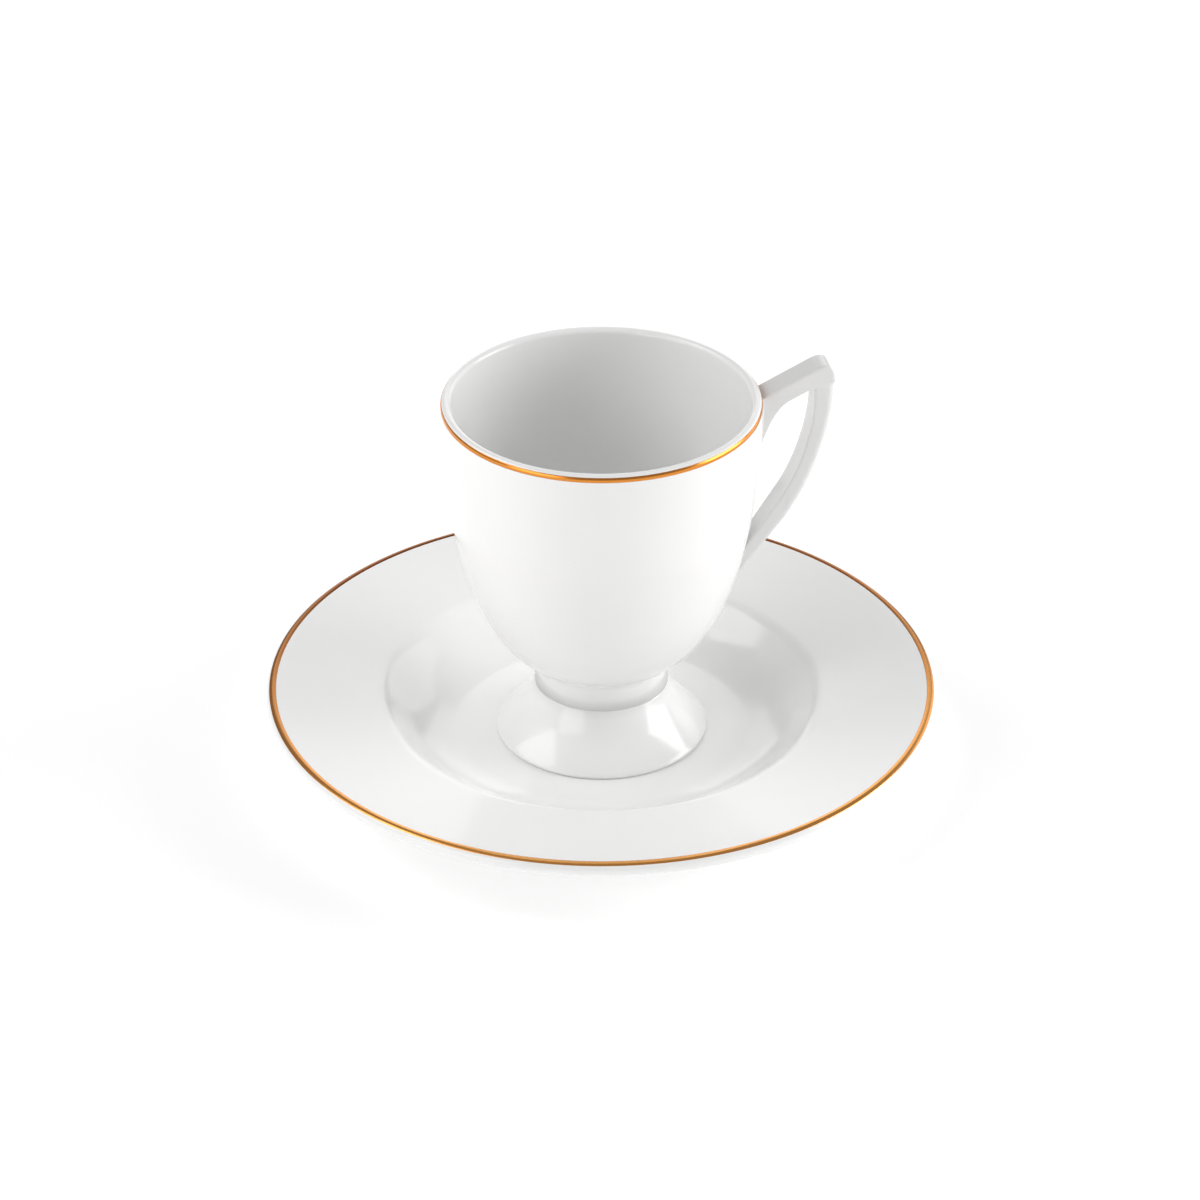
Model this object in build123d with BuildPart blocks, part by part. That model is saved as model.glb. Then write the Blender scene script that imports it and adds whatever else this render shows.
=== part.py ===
from build123d import *
import os
from math import atan, cos, radians, sin, tan

# Footed porcelain teacup standing on its saucer.
# Millimetres, +Z up. The origin is on the table, on the axis that cup and saucer share.
# The handle points along +X, so XZ is the plane of symmetry.
# Heights called "above the foot" count from the ring that the cup stands on.

# ---- cup: bowl ----
cup_height = 88.5          # standing ring to lip
rim_radius = 37.2
lip_wall = 2.4             # wall at the lip, which is fully rounded
base_wall = 3.2            # wall where the belly turns into the base
floor_wall = 3.4           # between the tea and the hollow of the foot
base_radius = 18.4         # where the belly runs out into the neck
base_height = 21.6         # height of that place above the foot
base_slope = 30.0          # slope of the belly there, in degrees
base_sweep = 12.0          # how far the belly keeps that slope
belly_drop = 37.7          # how far down the wall stays upright below the lip
neck_radius = 16.2
neck_fillet = 3.2

# ---- cup: pedestal foot ----
foot_radius = 25.2         # widest ring, just above the well of the saucer
crease_radius = 16.0       # waist, where bowl and foot are luted together
crease_height = 13.3
flare_upper = (1.2, 3.8)   # out and down: the flare leaves the waist steeply
flare_lower = (6.4, 6.0)   # in and up: it reaches the edge at the flare angle
foot_edge = 0.6            # rounding of the foot's edge
flare_angle = 45.0         # slope at which the flare runs into that rounding
foot_wall = 3.1
standing_ring = 2.6        # width of the flat ring that the cup stands on
ring_relief = 0.5          # bevel on the inside of that ring
hollow_fillet = 2.5

# ---- cup: handle ----
handle_width = 6.8
handle_reach = 17.3        # from the rim radius out to the end of the arm
arm_thickness = 4.1
arm_slope = 26.6
arm_drop = 2.3             # top of the arm below the lip, at the wall
arm_rounding = 1.5         # rounding of the arm's long edges and of its end
gusset_reach = 6.8         # the arm's root swells down the wall: out from the rim radius
gusset_drop = 18.5         # and down from the lip
gusset_bulge = (0.33, 0.5) # pull of its curve at the foot, as shares of that reach and drop
gusset_pull = 0.5          # and at the arm, as a share of the reach
strut_thickness = 4.5
strut_overhang = 0.3       # the strut's outside stands proud of the arm's end
strut_drop = 3.8           # top of the strut below the top of the arm's end
strut_rounding = 1.0
outer_straight = 8.0       # the outside hangs upright this far below the arm's end
outer_landing = 0.3672     # and meets the bowl at this share of the cup's height
outer_knee = 0.35          # its bend is this share of the way down
inner_straight = 4.0       # the same for the inside, from the underside of the arm
inner_landing = 0.4633
inner_knee = 0.31
strut_bed = 3.0            # the strut's foot runs this far into the bowl's outline
grip_corner = 1.2          # fillet between the arm and the strut's inside

# ---- gilding: bands of gold set flush with the glaze ----
# Real gilding is a film; here each band is thick enough to be a sound solid of its own.
gilding_depth = 0.5
gilding_flats = 3            # narrow cones that make up the round of each band
cup_gilding_angle = 45.0     # how far the cup's band climbs the rounded lip
cup_gilding_drop = 1.7       # lower edge of that band below the lip
saucer_gilding_start = 55.0  # the saucer's band covers its edge from this angle up
saucer_gilding_reach = 0.2   # and runs this far onto the rim

# ---- saucer ----
saucer_radius = 80.1
saucer_edge = 1.62         # radius of the rounded edge
saucer_wall = 3.8          # wall of the well and of its floor
rim_slope = 7.0
rim_height = 18.75         # top of the edge above the table
well_height = 6.0          # floor of the well above the table
well_radius = 41.2         # where floor and wall of the well would meet unrounded
well_slope = 42.0
shoulder_fillet = 6.0      # rim into well wall
well_fillet = 18.0         # well wall into floor
under_fillet = 5.0
ring_radius = 44.3         # outside of the ring that the saucer stands on
ring_width = 3.4
ring_rounding = 0.9

upright = 89.99           # slope of a line drawn straight up in the section
side_tolerance = 0.01     # for telling the edges of the handle's flat sides

os.makedirs("parts", exist_ok=True)


def offset_point(point, angle, distance):
    """The point at a distance from another one, at an angle above the horizontal."""
    return (
        point[0] + distance * cos(radians(angle)),
        point[1] + distance * sin(radians(angle)),
    )


def crossing(point_a, slope_a, point_b, slope_b):
    """Where two sloping lines of the section meet."""
    rise_a = tan(radians(slope_a))
    rise_b = tan(radians(slope_b))
    x = (point_b[1] - point_a[1] + rise_a * point_a[0] - rise_b * point_b[0]) / (rise_a - rise_b)
    return (x, point_a[1] + rise_a * (x - point_a[0]))


# ---- cup: places in its section ----
foot_z = well_height
lip_z = foot_z + cup_height
crease_z = foot_z + crease_height
lip_rounding = lip_wall / 2
lip_centre = (rim_radius - lip_rounding, lip_z - lip_rounding)
band_z = lip_z - cup_gilding_drop
belly_end = (base_radius, foot_z + base_height)
belly_pull = offset_point(belly_end, base_slope, base_sweep)
inside_end = offset_point(belly_end, base_slope + 90, base_wall)
inside_pull = offset_point(belly_pull, base_slope + 90, base_wall)
floor_arc = inside_end[0] / sin(radians(base_slope))
floor_z = inside_end[1] - floor_arc * (1 - cos(radians(base_slope)))
hollow_radius = crease_radius - foot_wall
hollow_z = floor_z - floor_wall
neck_corner = crossing((neck_radius, crease_z), upright, belly_end, base_slope)

# ---- saucer: places in its section ----
edge_centre = (saucer_radius - saucer_edge, rim_height - saucer_edge)
rim_top = offset_point(edge_centre, rim_slope + 90, saucer_edge)
rim_under = offset_point(edge_centre, rim_slope - 90, saucer_edge)
well_foot = (well_radius, well_height)
under_foot = offset_point(well_foot, well_slope - 90, saucer_wall)
mouth = crossing(rim_top, rim_slope, well_foot, well_slope)
under_mouth = crossing(rim_under, rim_slope, under_foot, well_slope)
ring_root = crossing(under_foot, well_slope, (ring_radius, 0), upright)
ring_inside = ring_radius - ring_width


def belly_line(mode=Mode.ADD):
    """Outside of the bowl, from the neck up to the lower edge of the gold band."""
    return Bezier(
        belly_end, belly_pull, (rim_radius, lip_z - belly_drop), (rim_radius, band_z), mode=mode
    )


def belly_radius(height_above_foot):
    """Outside radius of the bowl at a height above the foot."""
    level = Axis((0, foot_z + height_above_foot, 0), (1, 0, 0))
    return belly_line(mode=Mode.PRIVATE).intersect(level)[0].X


def bowl_flank():
    """Outside of the bowl, from the crease over neck and belly to the gold band."""
    FilletPolyline((crease_radius, crease_z), neck_corner, belly_end, radius=neck_fillet)
    belly_line()


def band_round(centre, radius, start, turn):
    """Points along the round of a gold band."""
    step = turn / gilding_flats
    return [offset_point(centre, start + step * i, radius) for i in range(gilding_flats + 1)]


# Each band's shine is the face that shows, and its bed the face that lies in the porcelain.
cup_shine = [
    (rim_radius, band_z),
    *band_round(lip_centre, lip_rounding, 0, cup_gilding_angle),
]
cup_bed = [
    (rim_radius - gilding_depth, band_z),
    *band_round(lip_centre, lip_rounding - gilding_depth, 0, cup_gilding_angle),
]
saucer_gilding_turn = rim_slope + 90 - saucer_gilding_start
saucer_shine = band_round(edge_centre, saucer_edge, saucer_gilding_start, saucer_gilding_turn)
saucer_bed = band_round(
    edge_centre, saucer_edge - gilding_depth, saucer_gilding_start, saucer_gilding_turn
)
for side in (saucer_shine, saucer_bed):
    side.append(offset_point(side[-1], rim_slope + 180, saucer_gilding_reach))


# The bowl is cast in one piece with a short stub of neck, which is hollow underneath.
with BuildPart() as cup_bowl:
    with BuildSketch(Plane.XZ):
        with BuildLine():
            bowl_flank()
            Polyline(cup_shine[0], *cup_bed, cup_shine[-1])
            CenterArc(lip_centre, lip_rounding, cup_gilding_angle, 180 - cup_gilding_angle)
            Bezier(
                (rim_radius - lip_wall, lip_centre[1]),
                (rim_radius - lip_wall, lip_z - belly_drop),
                inside_pull,
                inside_end,
            )
            CenterArc((0, floor_z + floor_arc), floor_arc, 270, base_slope)
            Line((0, floor_z), (0, hollow_z))
            FilletPolyline(
                (0, hollow_z),
                (hollow_radius, hollow_z),
                (hollow_radius, crease_z),
                radius=hollow_fillet,
            )
            Line((hollow_radius, crease_z), (crease_radius, crease_z))
        make_face()
    revolve(axis=Axis.Z)

# The foot is a flared ring with an open hollow, luted to the stub at the crease.
foot_edge_centre = (foot_radius - foot_edge, foot_z + foot_edge)
flare_end = offset_point(foot_edge_centre, flare_angle, foot_edge)
ring_inner = foot_radius - foot_edge - standing_ring
with BuildPart() as cup_foot:
    with BuildSketch(Plane.XZ):
        with BuildLine():
            Bezier(
                (crease_radius, crease_z),
                (crease_radius + flare_upper[0], crease_z - flare_upper[1]),
                (flare_end[0] - flare_lower[0], flare_end[1] + flare_lower[1]),
                flare_end,
            )
            CenterArc(foot_edge_centre, foot_edge, flare_angle, -90 - flare_angle)
            Polyline(
                (foot_edge_centre[0], foot_z),
                (ring_inner, foot_z),
                (ring_inner - ring_relief, foot_z + ring_relief),
            )
            Bezier(
                (ring_inner - ring_relief, foot_z + ring_relief),
                (ring_inner - flare_lower[0], foot_z + flare_lower[1]),
                (hollow_radius + flare_upper[0], crease_z - flare_upper[1]),
                (hollow_radius, crease_z),
            )
            Line((hollow_radius, crease_z), (crease_radius, crease_z))
        make_face()
    revolve(axis=Axis.Z)

with BuildPart() as cup_rim_gilding:
    with BuildSketch(Plane.XZ):
        with BuildLine():
            Polyline(*cup_shine, *reversed(cup_bed), close=True)
        make_face()
    revolve(axis=Axis.Z)

# The handle is a flat arm with a half-round end, and a bowed strut under it that leans in
# to the bowl. Both are cut to the round of the bowl that they are luted to.
side_y = handle_width / 2
arm_end = rim_radius + handle_reach
arm_wall_top = (rim_radius, lip_z - arm_drop)
arm_depth = arm_thickness / cos(radians(arm_slope))
arm_under = (rim_radius, arm_wall_top[1] - arm_depth)
arm_root = crossing(arm_wall_top, arm_slope, (base_radius, 0), upright)
arm_tip = crossing(arm_wall_top, arm_slope, (arm_end, 0), upright)
gusset_top = offset_point(arm_under, arm_slope, gusset_reach / cos(radians(arm_slope)))
gusset_foot = (belly_radius(cup_height - gusset_drop), lip_z - gusset_drop)
strut_out = arm_end + strut_overhang
strut_in = strut_out - strut_thickness
strut_z = arm_tip[1] - strut_drop
grip_z = crossing(arm_under, arm_slope, (strut_in, 0), upright)[1]
outer_foot_height = outer_landing * cup_height
inner_foot_height = inner_landing * cup_height
outer_foot = (belly_radius(outer_foot_height), foot_z + outer_foot_height)
inner_foot = (belly_radius(inner_foot_height), foot_z + inner_foot_height)


def bent_line(x, top_z, bend_z, knee, landing):
    """An upright line that bends in one arc, from bend_z down, and runs straight to a point."""
    knee_z = bend_z - knee * (bend_z - landing[1])
    lean = atan((x - landing[0]) / (knee_z - landing[1]))
    return FilletPolyline((x, top_z), (x, knee_z), landing, radius=(bend_z - knee_z) / tan(lean / 2))


def on_sides(edge):
    """Whether an edge runs along one of the two flat sides of the handle."""
    return abs(edge.center().Y) > side_y - side_tolerance


with BuildPart() as arm:
    with BuildSketch(Plane.XZ.offset(side_y)):
        with BuildLine():
            Polyline(
                gusset_top,
                (arm_end, arm_tip[1] - arm_depth),
                arm_tip,
                arm_root,
                (base_radius, gusset_foot[1]),
                gusset_foot,
            )
            Bezier(
                gusset_foot,
                (
                    gusset_foot[0] + gusset_bulge[0] * gusset_reach,
                    gusset_foot[1] + gusset_bulge[1] * gusset_drop,
                ),
                offset_point(gusset_top, arm_slope + 180, gusset_pull * gusset_reach),
                gusset_top,
            )
        make_face()
    extrude(amount=-handle_width)
    with BuildSketch(Plane.XY):
        with Locations((arm_end - side_y, 0)):
            Circle(side_y)
        Rectangle(arm_end - side_y, handle_width, align=(Align.MIN, Align.CENTER))
    extrude(amount=2 * lip_z, mode=Mode.INTERSECT)
    swell = arm.edges().filter_by(GeomType.BEZIER).filter_by(on_sides)
    nose = arm.edges().filter_by(GeomType.ELLIPSE)
    back = arm.edges().filter_by(GeomType.LINE).filter_by(on_sides).sort_by(Edge.length)[-2:]
    fillet(swell + nose + back, radius=arm_rounding)

with BuildPart() as strut:
    with BuildSketch(Plane.XZ.offset(side_y)):
        with BuildLine():
            outside = bent_line(strut_out, strut_z, arm_tip[1] - outer_straight, outer_knee, outer_foot)
            inside = bent_line(
                strut_in, grip_z + arm_thickness / 2, grip_z - inner_straight, inner_knee, inner_foot
            )
            Polyline(
                outside @ 1,
                (outer_foot[0] - strut_bed, outer_foot[1]),
                (outer_foot[0] - strut_bed, inner_foot[1]),
                inside @ 1,
            )
            Line(inside @ 0, outside @ 0)
        make_face()
    extrude(amount=-handle_width)
    fillet(strut.edges().filter_by(GeomType.CIRCLE), radius=strut_rounding)

with BuildPart() as cup_handle:
    add(arm.part)
    add(strut.part)
    grip = Vector(strut_in, 0, grip_z)
    fillet(
        cup_handle.edges().filter_by(Axis.Y).sort_by(lambda edge: (edge.center() - grip).length)[0],
        radius=grip_corner,
    )
    with BuildSketch(Plane.XZ):
        with BuildLine():
            bowl_flank()
            Line((rim_radius, band_z), (rim_radius, lip_centre[1]))
            CenterArc(lip_centre, lip_rounding, 0, 90)
            Polyline((lip_centre[0], lip_z), (0, lip_z), (0, crease_z), (crease_radius, crease_z))
        make_face()
    revolve(axis=Axis.Z, mode=Mode.SUBTRACT)

# The saucer is one piece: broad rim, sunk well for the cup and a ring to stand on.
with BuildPart() as saucer:
    with BuildSketch(Plane.XZ):
        with BuildLine():
            CenterArc(
                edge_centre, saucer_edge, rim_slope - 90, saucer_gilding_start + 90 - rim_slope
            )
            Polyline(saucer_shine[0], *saucer_bed, saucer_shine[-1])
            FilletPolyline(
                saucer_shine[-1],
                mouth,
                well_foot,
                (0, well_height),
                radius=[shoulder_fillet, well_fillet],
            )
            Line((0, well_height), (0, well_height - saucer_wall))
            FilletPolyline(
                (0, well_height - saucer_wall),
                (ring_inside, well_height - saucer_wall),
                (ring_inside, 0),
                (ring_radius, 0),
                ring_root,
                under_mouth,
                rim_under,
                radius=[ring_rounding, ring_rounding, ring_rounding, ring_rounding, under_fillet],
            )
        make_face()
    revolve(axis=Axis.Z)

with BuildPart() as saucer_rim_gilding:
    with BuildSketch(Plane.XZ):
        with BuildLine():
            Polyline(*saucer_shine, *reversed(saucer_bed), close=True)
        make_face()
    revolve(axis=Axis.Z)

pieces = {
    "cup_bowl": cup_bowl,
    "cup_foot": cup_foot,
    "cup_handle": cup_handle,
    "cup_rim_gilding": cup_rim_gilding,
    "saucer": saucer,
    "saucer_rim_gilding": saucer_rim_gilding,
}
for name, piece in pieces.items():
    piece.part.label = name
    export_step(piece.part, f"parts/{name}.step")
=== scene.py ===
import math

import bmesh
import bpy
from bpy.props import FloatProperty, FloatVectorProperty, IntProperty, PointerProperty
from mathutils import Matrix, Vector
from mathutils.bvhtree import BVHTree
from mathutils.geometry import interpolate_bezier


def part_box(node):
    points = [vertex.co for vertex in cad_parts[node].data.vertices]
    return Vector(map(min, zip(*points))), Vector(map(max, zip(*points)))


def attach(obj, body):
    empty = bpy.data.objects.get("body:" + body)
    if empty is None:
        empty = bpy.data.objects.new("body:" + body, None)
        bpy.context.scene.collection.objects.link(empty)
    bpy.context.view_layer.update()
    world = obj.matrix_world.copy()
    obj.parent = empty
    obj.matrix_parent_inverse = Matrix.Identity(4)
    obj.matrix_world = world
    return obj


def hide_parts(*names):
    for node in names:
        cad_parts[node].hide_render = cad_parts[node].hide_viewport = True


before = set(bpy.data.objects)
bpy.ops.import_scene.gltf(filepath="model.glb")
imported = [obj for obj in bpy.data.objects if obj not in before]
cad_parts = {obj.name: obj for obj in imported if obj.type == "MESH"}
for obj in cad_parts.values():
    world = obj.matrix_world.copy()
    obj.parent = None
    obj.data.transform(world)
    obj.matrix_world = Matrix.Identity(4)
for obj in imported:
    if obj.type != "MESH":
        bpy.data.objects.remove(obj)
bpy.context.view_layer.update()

bl_info = {
    "name": "Footed Teacup and Saucer",
    "version": (1, 0, 0),
    "blender": (4, 5, 0),
    "location": "3D Viewport > Sidebar > Tea Ware",
    "description": "Glazed porcelain skins, gilding and a studio for a packed teacup and saucer",
    "category": "Object",
}

MM = 0.001

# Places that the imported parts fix, in metres.
BOWL_LOW, BOWL_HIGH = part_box("cup_bowl")
FOOT_LOW, FOOT_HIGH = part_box("cup_foot")
HANDLE_LOW, HANDLE_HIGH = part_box("cup_handle")
SAUCER_LOW, SAUCER_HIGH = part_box("saucer")
SAUCER_GOLD_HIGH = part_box("saucer_rim_gilding")[1]
CUP_GOLD_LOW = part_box("cup_rim_gilding")[0]

# Sizes of the section that more than one piece shares.
CREASE_RADIUS = 16.0 * MM
NECK_RADIUS = 16.2 * MM
NECK_FILLET = 3.2 * MM
BASE_RADIUS = 18.4 * MM
BASE_HEIGHT = 21.6 * MM
BASE_SLOPE = 30.0
BASE_SWEEP = 12.0 * MM
BELLY_DROP = 37.7 * MM
FLARE_TOP = (1.2 * MM, 3.8 * MM)
FLARE_FOOT = (6.4 * MM, 6.0 * MM)
RIM_SLOPE = 7.0
WELL_SLOPE = 42.0

# The photo's camera: degrees round the cup and degrees down.
VIEW_TURN = 11.0
VIEW_PITCH = 30.79


# ---- settings ----------------------------------------------------------------


def length(name, description, default, **limits):
    """A length setting, in metres, shown in the scene's units."""
    return FloatProperty(
        name=name, description=description, default=default, min=0.0, unit="LENGTH",
        subtype="DISTANCE", precision=5, **limits,
    )


def share(name, description, default):
    """A setting between none and all."""
    return FloatProperty(
        name=name, description=description, default=default, min=0.0, max=1.0, subtype="FACTOR"
    )


def colour(name, description, default):
    """A colour setting."""
    return FloatVectorProperty(
        name=name, description=description, default=default, size=3, min=0.0, max=1.0,
        subtype="COLOR",
    )


def power(name, description, default):
    """Power of a light."""
    return FloatProperty(
        name=name, description=description, default=default, min=0.0, unit="POWER"
    )


class TeacupSizes(bpy.types.PropertyGroup):
    """Sizes of the cup that can change inside its packed outline."""

    lip_wall: length("Lip Wall", "Wall of the bowl at its rounded lip", 2.4 * MM)
    base_wall: length("Base Wall", "Wall of the bowl where the belly meets the neck", 3.2 * MM)
    floor_wall: length("Floor Wall", "Wall under the tea, above the hollow foot", 3.4 * MM)
    foot_wall: length("Foot Wall", "Wall of the hollow foot", 3.1 * MM)
    foot_edge: length("Foot Edge", "Rounding of the widest edge of the foot", 0.6 * MM)
    standing_ring: length("Standing Ring", "Width of the bare ring under the foot", 2.6 * MM)
    arm_thickness: length("Arm Thickness", "Thickness of the handle's upper arm", 4.1 * MM)
    strut_thickness: length("Strut Thickness", "Thickness of the handle's bowed strut", 4.5 * MM)
    soft_rounding: length("Soft Rounding", "Top of the arm and outside of the strut", 1.8 * MM)
    nose_rounding: length("Nose Rounding", "Rounding of the handle's outer top corner", 3.0 * MM)
    crisp_rounding: length("Crisp Rounding", "Underside of the arm and inside of the strut", 0.9 * MM)
    glaze_fillet: length("Glaze Fillet", "Glaze gathered where handle meets bowl", 1.0 * MM)
    turning_steps: IntProperty(
        name="Turning Steps", description="Facets round each turned piece", default=256, min=48,
        max=512,
    )


class SaucerSizes(bpy.types.PropertyGroup):
    """Sizes of the saucer that can change inside its packed outline."""

    edge_radius: length("Edge Radius", "Radius of the saucer's rounded edge", 1.62 * MM)
    wall: length("Wall", "Wall of the saucer's well", 3.8 * MM)
    well_radius: length("Well Radius", "Where the floor and the wall of the well meet", 41.2 * MM)
    shoulder_radius: length("Shoulder Radius", "Rounding from the rim into the well", 6.0 * MM)
    well_rounding: length("Well Rounding", "Rounding from the well's wall into its floor", 18.0 * MM)
    ring_radius: length("Ring Radius", "Outside of the ring that the saucer stands on", 44.3 * MM)
    ring_width: length("Ring Width", "Width of the ring that the saucer stands on", 3.4 * MM)


class TeaWareFinish(bpy.types.PropertyGroup):
    """Colours and surface of glaze, bare porcelain and gilding."""

    glaze: colour("Glaze", "White of the glazed porcelain", (0.91, 0.91, 0.905))
    # Painted shade: the handle's glaze is greyed to stand in for the bowl's shade on it and for the
    # glow of thin, translucent porcelain that the solid handle lacks.
    handle_shade_glaze: colour("Handle Shade Glaze", "Glaze over the handle's solid body", (0.76, 0.76, 0.755))
    # Partly painted shade: this darker glaze also stands in for the shade in the crease of the cup's
    # neck.
    pooled_and_shaded_glaze: colour("Pooled Glaze", "Glaze where it gathers in a hollow", (0.82, 0.825, 0.82))
    bare: colour("Bare Porcelain", "Unglazed standing rings", (0.74, 0.70, 0.64))
    gold: colour("Gold", "Gold band on the cup", (0.80, 0.30, 0.055))
    copper_gold: colour("Copper Gold", "Redder gold band on the saucer", (0.90, 0.42, 0.12))
    # Painted shade: colour that darkens the far side of the saucer's band, where it looks darker
    # under the lights.
    far_side_shaded_gold: colour("Far Side Shaded Gold", "Darker fired side of the saucer's band", (0.26, 0.08, 0.015))
    glaze_roughness: share("Glaze Roughness", "Gloss of the glaze, lower is glossier", 0.15)
    gold_roughness: share("Gold Roughness", "Gloss of the gilding, lower is glossier", 0.22)
    gold_wear: share("Gold Wear", "How much of the gilding is rubbed thin", 0.25)
    ripple: length("Glaze Ripple", "Depth of the glaze's faint ripple", 0.004 * MM)


class TeaStudio(bpy.types.PropertyGroup):
    """Light, table and camera."""

    table: colour("Table", "Colour of the lit table", (0.95, 0.95, 0.95))
    table_glow: share("Table Glow", "Light that comes up through the table", 0.22)
    surround: FloatProperty(
        name="Surround", description="Strength of the even white surround", default=0.377, min=0.0
    )
    key_light: power("Key Light", "Power of the low softbox on the handle's side", 8.2)
    high_light: power("High Light", "Power of the high softbox on the other side", 4.2)
    fill_light: power("Fill Light", "Power of the low softbox in front", 2.9)
    rear_light: power("Rear Light", "Power of the softboxes behind", 1.75)
    lens: FloatProperty(
        name="Lens", description="Focal length of the camera", default=129.0, min=10.0,
        subtype="DISTANCE_CAMERA",
    )


# ---- sections and turned pieces ----------------------------------------------


def polar(centre, radius, degrees):
    """A point of the section at a distance and an angle from another one."""
    angle = math.radians(degrees)
    return (centre[0] + radius * math.cos(angle), centre[1] + radius * math.sin(angle))


def arc(centre, radius, start, turn, parts):
    """Points of the section along an arc, both ends included."""
    return [polar(centre, radius, start + turn * i / parts) for i in range(parts + 1)]


def sweep(a, pull_a, pull_b, b, parts):
    """Points of the section along a curve from a to b, both ends included."""
    handles = [Vector((p[0], p[1], 0.0)) for p in (a, pull_a, pull_b, b)]
    return [(p.x, p.y) for p in interpolate_bezier(*handles, parts + 1)]


def crossing(a, slope_a, b, slope_b):
    """Where two sloping lines of the section meet."""
    rise_a, rise_b = math.tan(math.radians(slope_a)), math.tan(math.radians(slope_b))
    x = (a[1] - b[1] + rise_b * b[0] - rise_a * a[0]) / (rise_b - rise_a)
    return (x, a[1] + rise_a * (x - a[0]))


def draw_line(bm, points, closed=False):
    """Join points (across, height) into a line in the XZ plane, and return its vertices."""
    verts = [bm.verts.new((x, 0.0, z)) for x, z in points]
    ends = verts[1:] + verts[:1] if closed else verts[1:]
    for a, b in zip(verts, ends):
        bm.edges.new((a, b))
    return verts


def round_corner(bm, vert, radius, segments=8):
    """Round one corner of a drawn line to a radius."""
    a, b = [(edge.other_vert(vert).co - vert.co) for edge in vert.link_edges]
    reach = radius / math.tan(a.angle(b) / 2)
    bmesh.ops.bevel(
        bm, geom=[vert], offset=reach, offset_type="OFFSET", segments=segments, profile=0.5,
        affect="VERTICES", material=-1,
    )


def turn_solid(bm, steps):
    """Turn the drawn section about the axis into a closed skin that faces outwards."""
    bmesh.ops.remove_doubles(bm, verts=bm.verts[:], dist=0.001 * MM)
    bmesh.ops.spin(
        bm, geom=bm.verts[:] + bm.edges[:], cent=(0, 0, 0), axis=(0, 0, 1), dvec=(0, 0, 0),
        angle=math.tau, steps=steps, use_merge=True, use_duplicate=False,
    )
    bmesh.ops.remove_doubles(bm, verts=bm.verts[:], dist=0.001 * MM)
    bmesh.ops.recalc_face_normals(bm, faces=bm.faces[:])


def finish_piece(bm, name, materials, body, nodes):
    """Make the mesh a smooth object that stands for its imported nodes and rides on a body."""
    mesh = bpy.data.meshes.new(name)
    bm.to_mesh(mesh)
    bm.free()
    mesh.polygons.foreach_set("use_smooth", [True] * len(mesh.polygons))
    for material in materials:
        mesh.materials.append(material)
    piece = bpy.data.objects.new(name, mesh)
    bpy.context.scene.collection.objects.link(piece)
    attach(piece, body)
    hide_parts(*nodes)
    return piece


def outside_line():
    """Outside of the bowl from the crease up to the crest of the lip, in metres."""
    sizes = bpy.context.scene.teacup_sizes
    rim, crease = BOWL_HIGH.x, BOWL_LOW.z
    lip_centre = (rim - sizes.lip_wall / 2, BOWL_HIGH.z - sizes.lip_wall / 2)
    belly = (BASE_RADIUS, FOOT_LOW.z + BASE_HEIGHT)
    neck = crossing((NECK_RADIUS, crease), 89.9, belly, BASE_SLOPE)
    pull = polar(belly, BASE_SWEEP, BASE_SLOPE)
    upright = BOWL_HIGH.z - BELLY_DROP
    return {
        "neck": [(CREASE_RADIUS, crease), neck, belly],
        "belly": sweep(belly, pull, (rim, upright), (rim, CUP_GOLD_LOW.z), 56),
        "lip": arc(lip_centre, sizes.lip_wall / 2, 0, 90, 8),
        "lip_centre": lip_centre,
    }


def saucer_edge_centre(edge):
    """Centre of the saucer's rounded edge in the section."""
    return (SAUCER_HIGH.x - edge, SAUCER_GOLD_HIGH.z - edge * math.cos(math.radians(RIM_SLOPE)))


# ---- materials ---------------------------------------------------------------


def new_group(name, inputs, outputs):
    """An empty shader node group with named inputs and outputs."""
    group = bpy.data.node_groups.new(name, "ShaderNodeTree")
    for label, kind, default in inputs:
        socket = group.interface.new_socket(label, in_out="INPUT", socket_type=kind)
        socket.default_value = default
    for label, kind in outputs:
        group.interface.new_socket(label, in_out="OUTPUT", socket_type=kind)
    return group, group.nodes.new("NodeGroupInput"), group.nodes.new("NodeGroupOutput")


def maths(tree, operation, *values, clamp=False):
    """A Math node; each value is a number or a socket. Returns its output."""
    node = tree.nodes.new("ShaderNodeMath")
    node.operation = operation
    node.use_clamp = clamp
    for socket, value in zip(node.inputs, values):
        if isinstance(value, bpy.types.NodeSocket):
            tree.links.new(value, socket)
        else:
            socket.default_value = value
    return node.outputs[0]


def times(tree, a, b, clamp=False):
    """The product of two numbers or sockets."""
    return maths(tree, "MULTIPLY", a, b, clamp=clamp)


def plus(tree, a, b, clamp=False):
    """The sum of two numbers or sockets."""
    return maths(tree, "ADD", a, b, clamp=clamp)


def minus(tree, a, b, clamp=False):
    """The difference of two numbers or sockets."""
    return maths(tree, "SUBTRACT", a, b, clamp=clamp)


def ramp_between(tree, value, low, high):
    """A smooth step of a socket from nothing at low to one at high."""
    node = tree.nodes.new("ShaderNodeMapRange")
    node.interpolation_type = "SMOOTHSTEP"
    tree.links.new(value, node.inputs["Value"])
    for label, limit in (("From Min", low), ("From Max", high)):
        if isinstance(limit, bpy.types.NodeSocket):
            tree.links.new(limit, node.inputs[label])
        else:
            node.inputs[label].default_value = limit
    return node.outputs["Result"]


def blend_colours(tree, amount, a, b, mode="MIX"):
    """A colour Mix node from a to b; returns its colour output."""
    node = tree.nodes.new("ShaderNodeMix")
    node.data_type = "RGBA"
    node.blend_type = mode
    for socket, value in ((node.inputs[0], amount), (node.inputs[6], a), (node.inputs[7], b)):
        if isinstance(value, bpy.types.NodeSocket):
            tree.links.new(value, socket)
        elif isinstance(value, (int, float)):
            socket.default_value = value
        else:
            socket.default_value = (*value, 1.0)
    return node.outputs[2]


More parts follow.
